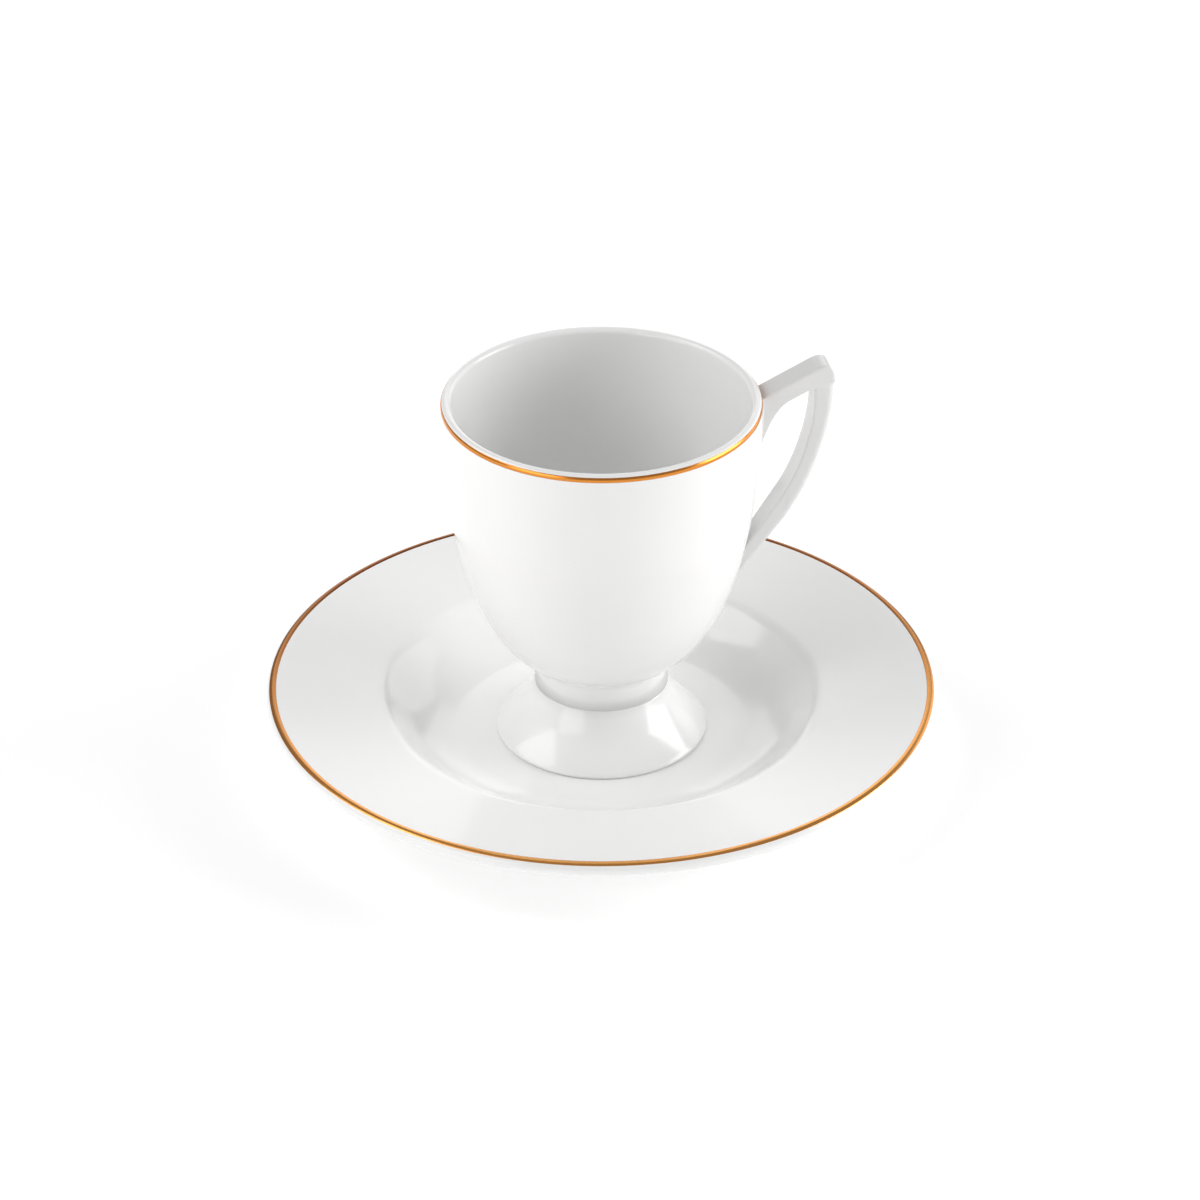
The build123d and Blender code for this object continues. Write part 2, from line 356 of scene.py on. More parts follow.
def cloud(tree, vector, scale, detail=2.0, roughness=0.5):
    """A noise texture on a vector; returns its value."""
    node = tree.nodes.new("ShaderNodeTexNoise")
    node.inputs["Scale"].default_value = scale
    node.inputs["Detail"].default_value = detail
    node.inputs["Roughness"].default_value = roughness
    tree.links.new(vector, node.inputs["Vector"])
    return node.outputs["Fac"]


def glaze_group():
    """Glaze: faint clouding, fine specks, uneven gloss, a slow ripple and a darker band at a height,
    partly glaze pooling and partly painted crease shade.
    """
    group, given, made = new_group(
        "glaze_surface",
        [
            ("Glaze", "NodeSocketColor", (0.86, 0.86, 0.85, 1.0)),
            ("Pooled and Shaded", "NodeSocketColor", (0.70, 0.71, 0.70, 1.0)),
            ("Pool Height", "NodeSocketFloat", 0.0193),
            ("Pool Reach", "NodeSocketFloat", 0.0014),
            ("Gloss", "NodeSocketFloat", 0.1),
            ("Speck Amount", "NodeSocketFloat", 0.3),
        ],
        [
            ("Colour", "NodeSocketColor"),
            ("Roughness", "NodeSocketFloat"),
            ("Height", "NodeSocketFloat"),
        ],
    )
    place = group.nodes.new("ShaderNodeTexCoord").outputs["Object"]
    split = group.nodes.new("ShaderNodeSeparateXYZ")
    group.links.new(place, split.inputs[0])
    clouds = cloud(group, place, 38.0, 3.0)
    smudges = cloud(group, place, 120.0, 4.0, 0.6)
    # A thin band round one height is tinted darker: glaze gathers there, and shade in the crease is
    # painted in with it.
    away = maths(group, "ABSOLUTE", minus(group, split.outputs["Z"], given.outputs["Pool Height"]))
    share_away = maths(group, "DIVIDE", away, given.outputs["Pool Reach"])
    near = minus(group, 1.0, share_away, clamp=True)
    pool_and_shade = times(group, near, plus(group, 0.6, times(group, clouds, 0.5)), clamp=True)
    tinted = blend_colours(group, pool_and_shade, given.outputs["Glaze"], given.outputs["Pooled and Shaded"])
    fade = times(group, minus(group, clouds, 0.5), 0.05)
    shade = minus(group, 1.0, maths(group, "ABSOLUTE", fade))
    tone = group.nodes.new("ShaderNodeCombineColor")
    for channel in ("Red", "Green", "Blue"):
        group.links.new(shade, tone.inputs[channel])
    clouded = blend_colours(group, 1.0, tinted, tone.outputs[0], "MULTIPLY")
    # A few pinholes and specks under the glaze.
    cells = group.nodes.new("ShaderNodeTexVoronoi")
    cells.inputs["Scale"].default_value = 160.0
    group.links.new(place, cells.inputs["Vector"])
    dot = ramp_between(group, cells.outputs["Distance"], 0.035, 0.012)
    chance = group.nodes.new("ShaderNodeSeparateColor")
    group.links.new(cells.outputs["Color"], chance.inputs[0])
    rare = maths(group, "GREATER_THAN", chance.outputs["Red"], 0.94)
    specks = times(group, times(group, dot, rare), given.outputs["Speck Amount"])
    speckled = blend_colours(group, specks, clouded, (0.52, 0.47, 0.40))
    group.links.new(speckled, made.inputs["Colour"])
    unevenness = plus(group, 0.65, times(group, smudges, 0.7))
    gloss = times(group, given.outputs["Gloss"], unevenness)
    group.links.new(gloss, made.inputs["Roughness"])
    fine_ripple = times(group, cloud(group, place, 420.0, 2.0), 0.12)
    ripple = plus(group, cloud(group, place, 95.0, 1.0), fine_ripple)
    group.links.new(minus(group, ripple, times(group, specks, 2.0)), made.inputs["Height"])
    return group


def gilding_group():
    """Brushed gold lustre: streaks that run round the piece, thin worn places, fine pits and a
    painted shade on the far side.
    """
    group, given, made = new_group(
        "gilding_surface",
        [
            ("Gold", "NodeSocketColor", (0.8, 0.3, 0.05, 1.0)),
            ("Shaded Far Gold", "NodeSocketColor", (0.8, 0.3, 0.05, 1.0)),
            ("Gloss", "NodeSocketFloat", 0.2),
            ("Wear", "NodeSocketFloat", 0.25),
        ],
        [
            ("Colour", "NodeSocketColor"),
            ("Roughness", "NodeSocketFloat"),
            ("Metallic", "NodeSocketFloat"),
            ("Height", "NodeSocketFloat"),
        ],
    )
    place = group.nodes.new("ShaderNodeTexCoord").outputs["Object"]
    split = group.nodes.new("ShaderNodeSeparateXYZ")
    group.links.new(place, split.inputs[0])
    x, y, z = split.outputs
    radius = maths(group, "SQRT", plus(group, times(group, x, x), times(group, y, y)))
    east, north = maths(group, "DIVIDE", x, radius), maths(group, "DIVIDE", y, radius)
    # Round the piece the pattern stays slow, across the band it is fine.
    streak_place = group.nodes.new("ShaderNodeCombineXYZ")
    group.links.new(times(group, east, 9.0), streak_place.inputs[0])
    group.links.new(times(group, north, 9.0), streak_place.inputs[1])
    group.links.new(times(group, minus(group, z, radius), 5200.0), streak_place.inputs[2])
    streaks = cloud(group, streak_place.outputs[0], 1.0, 3.0, 0.6)
    patches = cloud(group, place, 260.0, 4.0, 0.65)
    wear = given.outputs["Wear"]
    thin = ramp_between(group, patches, minus(group, 0.86, times(group, wear, 0.4)), 0.9)
    # Painted shade: the gold is darkened towards the far side of the piece, away from the camera.
    far = plus(group, 0.5, times(group, north, 0.7), clamp=True)
    fired = blend_colours(group, far, given.outputs["Gold"], given.outputs["Shaded Far Gold"])
    darker = blend_colours(group, times(group, streaks, 0.3), fired, (0.30, 0.10, 0.02))
    bare = blend_colours(group, times(group, thin, wear), darker, (0.80, 0.66, 0.50))
    group.links.new(bare, made.inputs["Colour"])
    rough = times(group, given.outputs["Gloss"], plus(group, 0.7, times(group, streaks, 0.6)))
    group.links.new(rough, made.inputs["Roughness"])
    metal = minus(group, 1.0, times(group, thin, times(group, wear, 0.6)))
    group.links.new(metal, made.inputs["Metallic"])
    height = plus(group, streaks, times(group, cloud(group, place, 1500.0, 2.0), 0.3))
    group.links.new(height, made.inputs["Height"])
    return group


def bare_group():
    """Bare fired porcelain: fine grain, grey rub marks from the table and uneven warmth."""
    group, given, made = new_group(
        "bare_porcelain_surface",
        [("Body", "NodeSocketColor", (0.74, 0.70, 0.64, 1.0))],
        [
            ("Colour", "NodeSocketColor"),
            ("Roughness", "NodeSocketFloat"),
            ("Height", "NodeSocketFloat"),
        ],
    )
    place = group.nodes.new("ShaderNodeTexCoord").outputs["Object"]
    grain = cloud(group, place, 2600.0, 3.0, 0.7)
    rubbed = ramp_between(group, cloud(group, place, 170.0, 4.0, 0.7), 0.50, 0.72)
    body = given.outputs["Body"]
    warm = blend_colours(group, times(group, grain, 0.35), body, (0.62, 0.56, 0.48))
    worn = blend_colours(group, times(group, rubbed, 0.45), warm, (0.47, 0.45, 0.42))
    group.links.new(worn, made.inputs["Colour"])
    group.links.new(minus(group, 0.82, times(group, rubbed, 0.2)), made.inputs["Roughness"])
    group.links.new(grain, made.inputs["Height"])
    return group


def shared_group(name, build):
    """The named node group, built the first time it is asked for."""
    return bpy.data.node_groups.get(name) or build()


def start_material(name, group, depth):
    """A material with a Principled shader, one placed node group and its bump."""
    material = bpy.data.materials.new(name)
    material.use_nodes = True
    tree = material.node_tree
    shader = tree.nodes["Principled BSDF"]
    placed = tree.nodes.new("ShaderNodeGroup")
    placed.node_tree = group
    tree.links.new(placed.outputs["Colour"], shader.inputs["Base Color"])
    tree.links.new(placed.outputs["Roughness"], shader.inputs["Roughness"])
    bump = tree.nodes.new("ShaderNodeBump")
    bump.inputs["Distance"].default_value = depth
    bump.inputs["Strength"].default_value = 1.0
    tree.links.new(placed.outputs["Height"], bump.inputs["Height"])
    tree.links.new(bump.outputs["Normal"], shader.inputs["Normal"])
    return material, shader, placed


def glaze_material(name, pool_height, pool_reach, tint=None):
    """Clear glaze over white porcelain, darker round one height where glaze gathers and where crease
    shade is painted.
    """
    finish = bpy.context.scene.tea_ware_finish
    material, shader, placed = start_material(
        name, shared_group("glaze_surface", glaze_group), finish.ripple
    )
    placed.inputs["Glaze"].default_value = (*(tint or finish.glaze), 1.0)
    placed.inputs["Pooled and Shaded"].default_value = (*finish.pooled_and_shaded_glaze, 1.0)
    placed.inputs["Pool Height"].default_value = pool_height
    placed.inputs["Pool Reach"].default_value = pool_reach
    placed.inputs["Gloss"].default_value = finish.glaze_roughness
    shader.inputs["IOR"].default_value = 1.5
    shader.inputs["Coat Weight"].default_value = 0.1
    shader.inputs["Coat Roughness"].default_value = 0.03
    return material


def gilding_material(name, tint, shaded_far_tint):
    """Gold lustre fired on to the glaze."""
    finish = bpy.context.scene.tea_ware_finish
    material, shader, placed = start_material(
        name, shared_group("gilding_surface", gilding_group), 0.004 * MM
    )
    placed.inputs["Gold"].default_value = (*tint, 1.0)
    placed.inputs["Shaded Far Gold"].default_value = (*shaded_far_tint, 1.0)
    placed.inputs["Gloss"].default_value = finish.gold_roughness
    placed.inputs["Wear"].default_value = finish.gold_wear
    material.node_tree.links.new(placed.outputs["Metallic"], shader.inputs["Metallic"])
    return material


def bare_material():
    """Unglazed porcelain of the standing rings."""
    found = bpy.data.materials.get("bare_porcelain")
    if found:
        return found
    finish = bpy.context.scene.tea_ware_finish
    material, shader, placed = start_material(
        "bare_porcelain", shared_group("bare_porcelain_surface", bare_group), 0.03 * MM
    )
    placed.inputs["Body"].default_value = (*finish.bare, 1.0)
    return material


# ---- operators ---------------------------------------------------------------


class TEAWARE_OT_turn_bowl(bpy.types.Operator):
    """Turn the cup's bowl, from the crease of its neck to the rounded lip"""

    bl_idname = "teaware.turn_bowl"
    bl_label = "Turn Bowl"
    bl_options = {"REGISTER", "UNDO"}

    def execute(self, context):
        sizes = context.scene.teacup_sizes
        line = outside_line()
        lip_centre = line["lip_centre"]
        belly = line["neck"][2]
        inner = lip_centre[0] - sizes.lip_wall / 2
        across_wall = BASE_SLOPE + 90.0
        inside_end = polar(belly, sizes.base_wall, across_wall)
        inside_pull = polar(polar(belly, BASE_SWEEP, BASE_SLOPE), sizes.base_wall, across_wall)
        inside_upright = lip_centre[1] - 36.5 * MM
        floor_arc = inside_end[0] / math.sin(math.radians(BASE_SLOPE))
        floor_z = inside_end[1] - floor_arc * (1 - math.cos(math.radians(BASE_SLOPE)))
        hollow = (CREASE_RADIUS - sizes.foot_wall, floor_z - sizes.floor_wall)
        bm = bmesh.new()
        neck = draw_line(bm, line["neck"])
        round_corner(bm, neck[1], NECK_FILLET)
        draw_line(bm, line["belly"])
        draw_line(bm, [line["belly"][-1], line["lip"][0]])
        draw_line(bm, line["lip"])
        draw_line(bm, arc(lip_centre, sizes.lip_wall / 2, 90, 90, 8))
        draw_line(
            bm,
            sweep((inner, lip_centre[1]), (inner, inside_upright), inside_pull, inside_end, 56),
        )
        draw_line(bm, arc((0.0, floor_z + floor_arc), floor_arc, 300, -30, 16))
        under = draw_line(
            bm, [(0.0, hollow[1]), hollow, (hollow[0], FOOT_HIGH.z), line["neck"][0]]
        )
        round_corner(bm, under[1], 2.5 * MM)
        turn_solid(bm, sizes.turning_steps)
        # The glaze darkens round the crease: partly gathered glaze, partly painted shade.
        glaze = glaze_material("glazed_cup", FOOT_HIGH.z, 2.2 * MM)
        finish_piece(bm, "cup_bowl_glazed", [glaze], "cup", ["cup_bowl"])
        return {"FINISHED"}


class TEAWARE_OT_turn_foot(bpy.types.Operator):
    """Turn the flared, hollow pedestal foot with its bare standing ring"""

    bl_idname = "teaware.turn_foot"
    bl_label = "Turn Foot"
    bl_options = {"REGISTER", "UNDO"}

    def execute(self, context):
        sizes = context.scene.teacup_sizes
        low, high, edge = FOOT_LOW.z, FOOT_HIGH.z, sizes.foot_edge
        crease, hollow = CREASE_RADIUS, CREASE_RADIUS - sizes.foot_wall
        centre = (FOOT_HIGH.x - edge, low + edge)
        flare_end = polar(centre, edge, 45.0)
        ring = (centre[0] - sizes.standing_ring, low)
        relief = (ring[0] - 0.5 * MM, low + 0.5 * MM)
        bm = bmesh.new()
        draw_line(
            bm,
            sweep(
                (crease, high),
                (crease + FLARE_TOP[0], high - FLARE_TOP[1]),
                (flare_end[0] - FLARE_FOOT[0], flare_end[1] + FLARE_FOOT[1]),
                flare_end,
                28,
            ),
        )
        draw_line(bm, arc(centre, edge, 45, -135, 8))
        draw_line(bm, [(centre[0], low), ring, relief])
        draw_line(
            bm,
            sweep(
                relief,
                (ring[0] - FLARE_FOOT[0], low + FLARE_FOOT[1]),
                (hollow + FLARE_TOP[0], high - FLARE_TOP[1]),
                (hollow, high),
                28,
            ),
        )
        draw_line(bm, [(hollow, high), (crease, high)])
        turn_solid(bm, sizes.turning_steps)
        for face in bm.faces:
            if face.calc_center_median().z < low + 0.02 * MM:
                face.material_index = 1
        # The glaze darkens round the crease: partly gathered glaze, partly painted shade.
        glaze = glaze_material("glazed_foot", high, 2.2 * MM)
        finish_piece(
            bm, "cup_foot_glazed", [glaze, bare_material()], "cup", ["cup_foot"]
        )
        return {"FINISHED"}


def slab(outline, rounded, width):
    """A flat slab of an outline, centred on the handle's plane, with its corners rounded first."""
    bm = bmesh.new()
    verts = draw_line(bm, outline, closed=True)
    for index, radius, segments in rounded:
        round_corner(bm, verts[index], radius, segments)
    face = bmesh.ops.contextual_create(bm, geom=bm.edges[:])["faces"][0]
    bmesh.ops.translate(bm, vec=(0, -width / 2, 0), verts=bm.verts[:])
    grown = bmesh.ops.extrude_face_region(bm, geom=[face])
    moved = [item for item in grown["geom"] if isinstance(item, bmesh.types.BMVert)]
    bmesh.ops.translate(bm, vec=(0, width, 0), verts=moved)
    bmesh.ops.recalc_face_normals(bm, faces=bm.faces[:])
    return bm


def soften(bm, radius, wanted):
    """Round the slab's sharp edges beside the faces whose normals are wanted."""
    edges = [
        edge for edge in bm.edges
        if edge.is_manifold and edge.calc_face_angle() > 0.9
        and any(wanted(face.normal) for face in edge.link_faces)
    ]
    bmesh.ops.bevel(
        bm, geom=edges, offset=radius, offset_type="OFFSET", segments=5, profile=0.5,
        affect="EDGES", clamp_overlap=True, material=-1,
    )
    bm.normal_update()


def bake_modifiers(piece):
    """The piece's mesh with its modifiers applied, as a bmesh; the piece itself is removed."""
    graph = bpy.context.evaluated_depsgraph_get()
    mesh = bpy.data.meshes.new_from_object(piece.evaluated_get(graph))
    bm = bmesh.new()
    bm.from_mesh(mesh)
    bpy.data.objects.remove(piece)
    bpy.data.meshes.remove(mesh)
    return bm


def loose_object(bm, name):
    """A working object that holds a bmesh."""
    mesh = bpy.data.meshes.new(name)
    bm.to_mesh(mesh)
    bm.free()
    piece = bpy.data.objects.new(name, mesh)
    bpy.context.scene.collection.objects.link(piece)
    return piece


class TEAWARE_OT_pull_handle(bpy.types.Operator):
    """Form the handle's arm and strut and draw their glaze out on to the bowl"""

    bl_idname = "teaware.pull_handle"
    bl_label = "Pull Handle"
    bl_options = {"REGISTER", "UNDO"}

    def execute(self, context):
        sizes = context.scene.teacup_sizes
        width = HANDLE_HIGH.y - HANDLE_LOW.y
        rim, lip = BOWL_HIGH.x, BOWL_HIGH.z
        slope = 26.6
        end = HANDLE_HIGH.x - 0.2 * MM
        depth = sizes.arm_thickness / math.cos(math.radians(slope))
        wall_top = (rim, lip - 2.3 * MM)
        wall_under = (rim, wall_top[1] - depth)
        bed = rim - 2.0 * MM
        root = crossing(wall_top, slope, (bed, 0.0), 89.99)
        tip = crossing(wall_top, slope, (end, 0.0), 89.99)
        out, into = HANDLE_HIGH.x, HANDLE_HIGH.x - sizes.strut_thickness - 0.6 * MM
        grip = crossing(wall_under, slope, (into, 0.0), 89.99)[1]
        swell_top = polar(wall_under, 6.8 * MM / math.cos(math.radians(slope)), slope)
        swell_foot = (rim - 0.9 * MM, lip - 18.5 * MM)
        swell = sweep(
            swell_foot,
            (swell_foot[0] + 2.3 * MM, swell_foot[1] + 9.2 * MM),
            polar(swell_top, 3.4 * MM, slope + 180.0),
            swell_top,
            16,
        )
        arm = slab(
            [(end, tip[1] - depth - 1.8 * MM), tip, root, (bed, swell_foot[1] - 0.5 * MM)]
            + swell + [(into + 0.6 * MM, grip + 0.3 * MM)],
            [(1, sizes.nose_rounding, 6)],
            width,
        )
        arm.normal_update()
        soften(
            arm, sizes.soft_rounding,
            lambda normal: abs(normal.y) < 0.3 and (normal.z > 0.2 or normal.x > 0.9),
        )
        soften(arm, sizes.crisp_rounding, lambda normal: normal.z < -0.2 and abs(normal.y) < 0.3)
        outer_foot = (27.56 * MM, FOOT_LOW.z + 32.5 * MM)
        inner_foot = (31.5 * MM, FOOT_LOW.z + 42.8 * MM)
        # Each side of the strut hangs upright, then bends over this drop to its landing.
        outer_drop = 0.35 * (tip[1] - 8.0 * MM - outer_foot[1])
        inner_drop = 0.31 * (grip - 4.0 * MM - inner_foot[1])
        outer_knee = tip[1] - 8.0 * MM - outer_drop
        inner_knee = grip - 4.0 * MM - inner_drop
        outer_lean = math.degrees(math.atan2(outer_knee - outer_foot[1], out - outer_foot[0]))
        inner_lean = math.degrees(math.atan2(inner_knee - inner_foot[1], into - inner_foot[0]))
        outer_bend = outer_drop / math.tan(math.radians((90 - outer_lean) / 2))
        inner_bend = inner_drop / math.tan(math.radians((90 - inner_lean) / 2))
        strut = slab(
            [
                (out, tip[1] - depth + 0.4 * MM),
                (out, outer_knee),
                polar(outer_foot, 5.0 * MM, outer_lean + 180.0),
                polar(inner_foot, 5.0 * MM, inner_lean + 180.0),
                (into, inner_knee),
                (into, grip + 2.0 * MM),
                (out - 2.4 * MM, tip[1] - 3.2 * MM),
            ],
            [(1, outer_bend, 24), (4, inner_bend, 24)],
            width - 0.5 * MM,
        )
        strut.normal_update()
        soften(strut, sizes.soft_rounding, lambda normal: normal.x > 0.5)
        soften(strut, sizes.crisp_rounding, lambda normal: normal.x < -0.5)
        handle = loose_object(arm, "handle_work")
        other = loose_object(strut, "strut_work")
        # The bowl's own core, a little under its skin, hollows the handle's roots.
        core = bmesh.new()
        line = outside_line()
        skin_depth, core_top = 1.3 * MM, lip + 9.0 * MM
        flank = [(x - skin_depth, z) for x, z in line["belly"]]
        draw_line(core, flank)
        draw_line(core, [flank[-1], (rim - skin_depth, core_top), (0.0, core_top)])
        draw_line(core, [(0.0, flank[0][1]), flank[0]])
        turn_solid(core, 96)
        cutter = loose_object(core, "core_work")
        for operation, tool in (("UNION", other), ("DIFFERENCE", cutter)):
            step = handle.modifiers.new(operation.lower(), "BOOLEAN")
            step.operation = operation
            step.solver = "EXACT"
            step.object = tool
        skin = handle.modifiers.new("skin", "REMESH")
        skin.mode = "VOXEL"
        skin.voxel_size = 0.26 * MM
        skin.adaptivity = 0.0
        bm = bake_modifiers(handle)
        for tool in (other, cutter):
            bpy.data.objects.remove(tool)
        for _ in range(7):
            bmesh.ops.smooth_vert(
                bm, verts=bm.verts[:], factor=0.5, use_axis_x=True, use_axis_y=True, use_axis_z=True
            )
        gather_glaze(bm, sizes.glaze_fillet)
        bmesh.ops.recalc_face_normals(bm, faces=bm.faces[:])
        # Painted shade: the handle gets a greyer glaze than the bowl, standing in for shade on it.
        body = context.scene.tea_ware_finish.handle_shade_glaze
        glaze = glaze_material("glazed_handle_shaded", 0.0, 0.1 * MM, body)
        finish_piece(bm, "cup_handle_glazed", [glaze], "cup", ["cup_handle"])
        return {"FINISHED"}


def gather_glaze(bm, fillet):
    """Flare the handle's skin where it nears the bowl, as glaze gathers in a joint."""
    bowl = bpy.data.objects["cup_bowl_glazed"]
    wall = bmesh.new()
    wall.from_mesh(bowl.data)
    tree = BVHTree.FromBMesh(wall)
    wall.free()
    close = [vert for vert in bm.verts if tree.find_nearest(vert.co, 2.2 * fillet)[0] is not None]
    near = set(close)
    edges = [edge for edge in bm.edges if edge.verts[0] in near and edge.verts[1] in near]
    bmesh.ops.subdivide_edges(bm, edges=edges, cuts=1, use_grid_fill=True)
    bm.normal_update()
    moves = []
    for vert in bm.verts:
        found, normal, _, _ = tree.find_nearest(vert.co, 3.0 * fillet)
        if found is None:
            continue
        # Just under the gold band the gathered glaze is kept narrow.
        near_band = min(1.0, max(0.0, (vert.co.z - BOWL_HIGH.z + 5.0 * MM) / (3.0 * MM)))
        radius = fillet * (1.0 - 0.55 * near_band)
        gap = (vert.co - found).dot(normal)
        side = vert.normal - vert.normal.dot(normal) * normal
        if gap > radius or side.length < 0.2:
            continue
        lift = max(gap, 0.0)
        flare = radius - math.sqrt(max(radius**2 - (radius - lift) ** 2, 0.0))
        moves.append((vert, side.normalized() * flare))
    for vert, move in moves:
        vert.co += move


class TEAWARE_OT_turn_saucer(bpy.types.Operator):
    """Turn the saucer with its broad rim, sunk well and bare standing ring"""

    bl_idname = "teaware.turn_saucer"
    bl_label = "Turn Saucer"
    bl_options = {"REGISTER", "UNDO"}

    def execute(self, context):
        sizes = context.scene.saucer_sizes
        edge, wall = sizes.edge_radius, sizes.wall
        well_z = FOOT_LOW.z
        centre = saucer_edge_centre(edge)
        rim_top = polar(centre, edge, RIM_SLOPE + 90)
        rim_under = polar(centre, edge, RIM_SLOPE - 90)
        well_foot = (sizes.well_radius, well_z)
        under_foot = polar(well_foot, wall, WELL_SLOPE - 90)
        mouth = crossing(rim_top, RIM_SLOPE, well_foot, WELL_SLOPE)
        under_mouth = crossing(rim_under, RIM_SLOPE, under_foot, WELL_SLOPE)
        ring_root = crossing(under_foot, WELL_SLOPE, (sizes.ring_radius, 0.0), 89.9)
        ring_in = sizes.ring_radius - sizes.ring_width
        bm = bmesh.new()
        draw_line(bm, arc(centre, edge, RIM_SLOPE - 90, 180, 24))
        top = draw_line(bm, [rim_top, mouth, well_foot, (0.0, well_z)])
        round_corner(bm, top[1], sizes.shoulder_radius, 14)
        round_corner(bm, top[2], sizes.well_rounding, 20)
        base = SAUCER_LOW.z
        under = draw_line(
            bm,
            [
                (0.0, well_z - wall),
                (ring_in, well_z - wall),
                (ring_in, base),
                (sizes.ring_radius, base),
                ring_root,
                under_mouth,
                rim_under,
            ],
        )
        ring_rounding, under_rounding = 0.9 * MM, 5.0 * MM
        for vert in under[1:5]:
            round_corner(bm, vert, ring_rounding, 6)
        round_corner(bm, under[5], under_rounding, 6)
        long_spans = [e for e in bm.edges if e.calc_length() > 4.0 * MM]
        for span in long_spans:
            bmesh.ops.subdivide_edges(bm, edges=[span], cuts=int(span.calc_length() / (3.0 * MM)))
        turn_solid(bm, context.scene.teacup_sizes.turning_steps)
        for face in bm.faces:
            if face.calc_center_median().z < base + 0.12 * MM:
                face.material_index = 1
        glaze = glaze_material("glazed_saucer", SAUCER_LOW.z, 0.1 * MM)
        finish_piece(
            bm, "saucer_glazed", [glaze, bare_material()], "saucer", ["saucer"]
        )
        return {"FINISHED"}


def band(name, shine, inside, material, body, node, steps):
    """Lay a thin ring of gold over a turned edge."""
    bm = bmesh.new()
    draw_line(bm, shine + inside[::-1], closed=True)
    turn_solid(bm, steps)
    finish_piece(bm, name, [material], body, [node])


class TEAWARE_OT_lay_gilding(bpy.types.Operator):
    """Lay the gold bands on the cup's lip and on the saucer's edge"""

    bl_idname = "teaware.lay_gilding"
    bl_label = "Lay Gilding"
    bl_options = {"REGISTER", "UNDO"}

    def execute(self, context):
        finish = context.scene.tea_ware_finish
        cup, saucer = context.scene.teacup_sizes, context.scene.saucer_sizes
        steps = cup.turning_steps
        proud, sunk = 0.02 * MM, 0.15 * MM
        round_radius = cup.lip_wall / 2
        lip_centre = (BOWL_HIGH.x - round_radius, BOWL_HIGH.z - round_radius)
        low = CUP_GOLD_LOW.z
        shine = (
            [(BOWL_HIGH.x - 0.01 * MM, low + 0.06 * MM), (BOWL_HIGH.x + proud, low + 0.2 * MM)]
            + arc(lip_centre, round_radius + proud, 0, 36, 10)
            + [polar(lip_centre, round_radius - 0.01 * MM, 40)]
        )
        inside = [(BOWL_HIGH.x - sunk, low + 0.14 * MM)]
        inside += arc(lip_centre, round_radius - sunk, 0, 37, 6)
        band(
            "cup_gold_band", shine, inside, gilding_material("cup_gold", finish.gold, finish.gold),
            "cup", "cup_rim_gilding", steps,
        )
        edge = saucer.edge_radius
        centre = saucer_edge_centre(edge)
        # The band starts low on the edge and ends a little way in, along the rim.
        top, inwards = RIM_SLOPE + 90, RIM_SLOPE + 180
        shine = (
            [polar(centre, edge - 0.01 * MM, 53)]
            + arc(centre, edge + proud, 57, 38, 14)
            + [polar(polar(centre, edge + proud, top), 0.4 * MM, inwards)]
            + [polar(polar(centre, edge - 0.01 * MM, top), 0.6 * MM, inwards)]
        )
        inside = arc(centre, edge - sunk, 55, 42, 8)
        inside.append(polar(polar(centre, edge - sunk, top), 0.5 * MM, inwards))
        # The saucer's band carries a painted shade on its far side.
        band(
            "saucer_gold_band", shine, inside,
            gilding_material("saucer_gold", finish.copper_gold, finish.far_side_shaded_gold),
            "saucer", "saucer_rim_gilding", steps,
        )
        return {"FINISHED"}


def softbox(name, side, height, power_watts, size=0.7, away=1.1):
    """A square softbox that faces the tea ware, from a side counted from the camera's right."""
    turn, lift = math.radians(side - VIEW_TURN), math.radians(height)
    aim = Vector((0.0, 0.0, 0.05))
    level = math.cos(lift)
    reach = Vector((math.cos(turn) * level, math.sin(turn) * level, math.sin(lift)))
    light = bpy.data.lights.new(name, "AREA")
    light.shape = "RECTANGLE"
    light.size, light.size_y = size, size
    light.energy = power_watts
    lamp = bpy.data.objects.new(name, light)
    lamp.location = aim + reach * away
    lamp.rotation_mode = "QUATERNION"
    lamp.rotation_quaternion = (-reach).to_track_quat("-Z", "Y")
    bpy.context.scene.collection.objects.link(lamp)


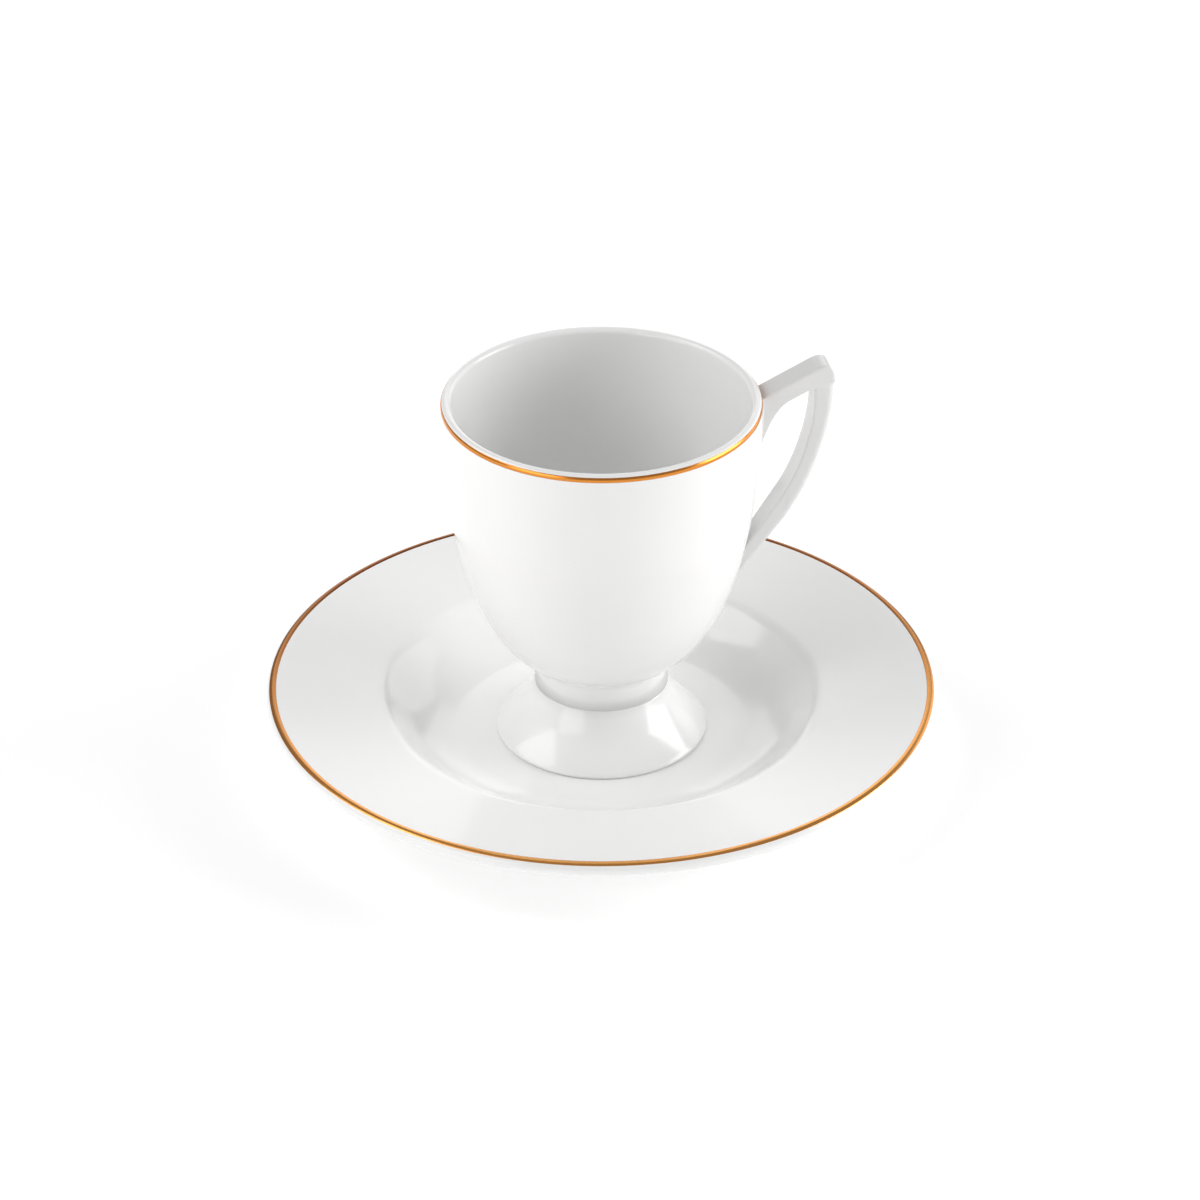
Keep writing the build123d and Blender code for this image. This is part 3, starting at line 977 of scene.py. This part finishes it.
class TEAWARE_OT_set_stage(bpy.types.Operator):
    """Set the lit table, the softboxes and the camera"""

    bl_idname = "teaware.set_stage"
    bl_label = "Set Stage"
    bl_options = {"REGISTER", "UNDO"}

    def execute(self, context):
        scene = context.scene
        studio = scene.tea_studio
        bm = bmesh.new()
        bmesh.ops.create_grid(bm, x_segments=1, y_segments=1, size=12.0)
        mesh = bpy.data.meshes.new("lit_table")
        bm.to_mesh(mesh)
        bm.free()
        table = bpy.data.objects.new("lit_table", mesh)
        scene.collection.objects.link(table)
        material = bpy.data.materials.new("lit_table")
        material.use_nodes = True
        shader = material.node_tree.nodes["Principled BSDF"]
        shader.inputs["Base Color"].default_value = (*studio.table, 1.0)
        shader.inputs["Roughness"].default_value = 0.9
        shader.inputs["Specular IOR Level"].default_value = 0.1
        shader.inputs["Emission Color"].default_value = (1.0, 1.0, 1.0, 1.0)
        shader.inputs["Emission Strength"].default_value = studio.table_glow
        mesh.materials.append(material)

        turn = math.radians(VIEW_TURN)
        right = Vector((math.cos(turn), -math.sin(turn), 0.0))
        forward = Vector((math.sin(turn), math.cos(turn), 0.0))
        up = Vector((0.0, 0.0, 1.0))
        softbox("key_softbox", 0, 15, studio.key_light)
        softbox("high_softbox", 180, 45, studio.high_light)
        softbox("fill_softbox", 225, 15, studio.fill_light)
        softbox("rear_softbox", 90, 15, studio.rear_light)
        softbox("rear_side_softbox", 45, 15, studio.rear_light)

        world = bpy.data.worlds.new("white_surround")
        world.use_nodes = True
        surround = world.node_tree.nodes["Background"]
        surround.inputs["Color"].default_value = (1.0, 1.0, 1.0, 1.0)
        surround.inputs["Strength"].default_value = studio.surround
        scene.world = world
        scene.view_settings.view_transform = "Standard"

        lens = bpy.data.cameras.new("camera")
        lens.lens = studio.lens
        lens.sensor_width = 36.0
        camera = bpy.data.objects.new("camera", lens)
        pitch = math.radians(VIEW_PITCH)
        camera.location = forward * -0.8748 + right * -0.00036 + up * 0.5617
        gaze = forward * math.cos(pitch) - up * math.sin(pitch)
        camera.rotation_mode = "QUATERNION"
        camera.rotation_quaternion = gaze.to_track_quat("-Z", "Y")
        scene.collection.objects.link(camera)
        scene.camera = camera
        return {"FINISHED"}


# ---- sidebar and registration ------------------------------------------------


class TEAWARE_PT_sidebar(bpy.types.Panel):
    """Sizes, finishes and steps for the teacup and saucer"""

    bl_label = "Teacup and Saucer"
    bl_idname = "TEAWARE_PT_sidebar"
    bl_space_type = "VIEW_3D"
    bl_region_type = "UI"
    bl_category = "Tea Ware"

    def draw(self, context):
        for group in ("teacup_sizes", "saucer_sizes", "tea_ware_finish", "tea_studio"):
            settings = getattr(context.scene, group)
            column = self.layout.column(align=True)
            for label in settings.__annotations__:
                column.prop(settings, label)
        for step in STEPS:
            self.layout.operator(step.bl_idname)


GROUPS = {
    "teacup_sizes": TeacupSizes,
    "saucer_sizes": SaucerSizes,
    "tea_ware_finish": TeaWareFinish,
    "tea_studio": TeaStudio,
}
STEPS = (
    TEAWARE_OT_turn_bowl,
    TEAWARE_OT_turn_foot,
    TEAWARE_OT_pull_handle,
    TEAWARE_OT_turn_saucer,
    TEAWARE_OT_lay_gilding,
    TEAWARE_OT_set_stage,
)


def register():
    """Register the settings, the operators and the sidebar."""
    for kind in (*GROUPS.values(), *STEPS, TEAWARE_PT_sidebar):
        bpy.utils.register_class(kind)
    for label, kind in GROUPS.items():
        setattr(bpy.types.Scene, label, PointerProperty(type=kind))


def unregister():
    """Take everything away again."""
    for label in GROUPS:
        delattr(bpy.types.Scene, label)
    for kind in (TEAWARE_PT_sidebar, *reversed(STEPS), *reversed(GROUPS.values())):
        bpy.utils.unregister_class(kind)


def main():
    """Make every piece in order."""
    register()
    bpy.ops.teaware.turn_bowl()
    bpy.ops.teaware.turn_foot()
    bpy.ops.teaware.pull_handle()
    bpy.ops.teaware.turn_saucer()
    bpy.ops.teaware.lay_gilding()
    bpy.ops.teaware.set_stage()


if __name__ == "__main__":
    main()
